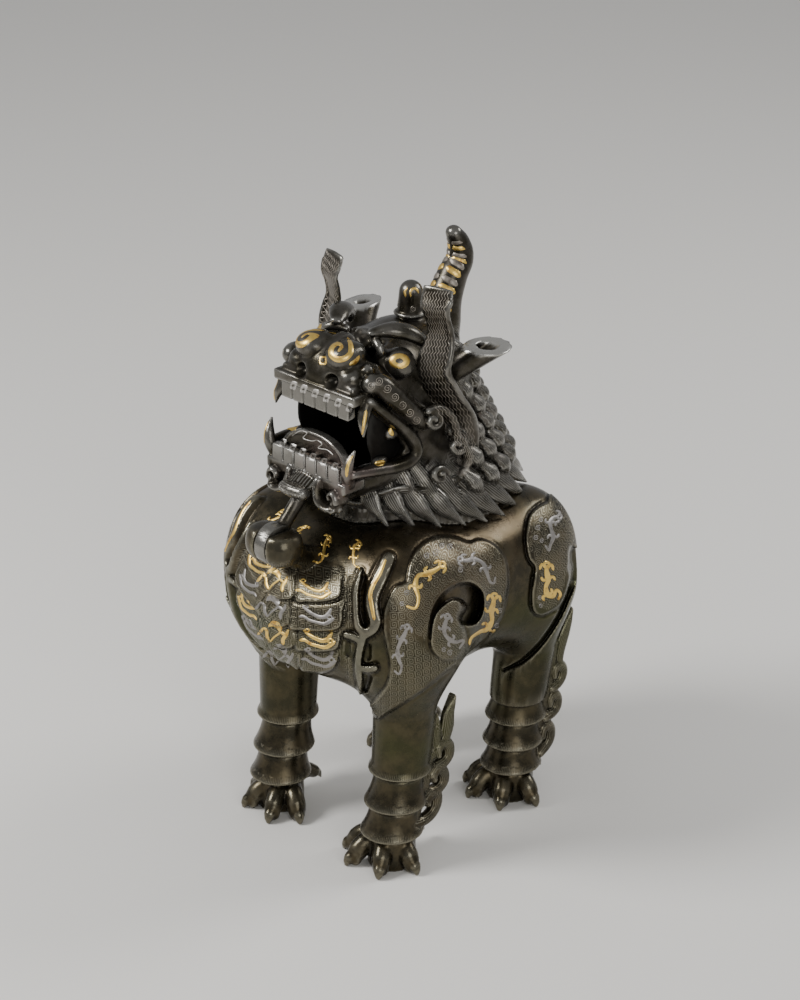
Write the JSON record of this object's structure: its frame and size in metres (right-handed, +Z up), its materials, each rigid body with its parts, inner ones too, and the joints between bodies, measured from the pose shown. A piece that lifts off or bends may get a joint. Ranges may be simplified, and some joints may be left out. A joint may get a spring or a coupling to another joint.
{
  "type": "incense burner",
  "caption": "Bronze incense burner in the form of a standing one-horned beast, with an open mouth, a hollow body and a hinged head as its lid.",
  "frame": {"origin": "middle of the bounding box's base, on the ground between the four feet", "axes": "+Z up, -Y the way the beast faces, +X its left side"},
  "size_m": [0.1976, 0.2552, 0.4302],
  "materials": {
    "burner_body": "dark brown patinated cast bronze with inlay",
    "head_lid": "dark grey-brown patinated cast bronze with inlay",
    "hinge_pin": "dark patinated bronze"
  },
  "bodies": {
    "vessel": {"burner_body": "burner_body", "hinge_pin": "hinge_pin"},
    "head": {"head_lid": "head_lid"}
  },
  "joints": [
    {"name": "head_hinge", "type": "hinge", "parent": "vessel", "child": "head", "pos_m": [0, -0.11315, 0.2477], "axis": [1, 0, 0], "range_deg": [0, 80]}
  ]
}
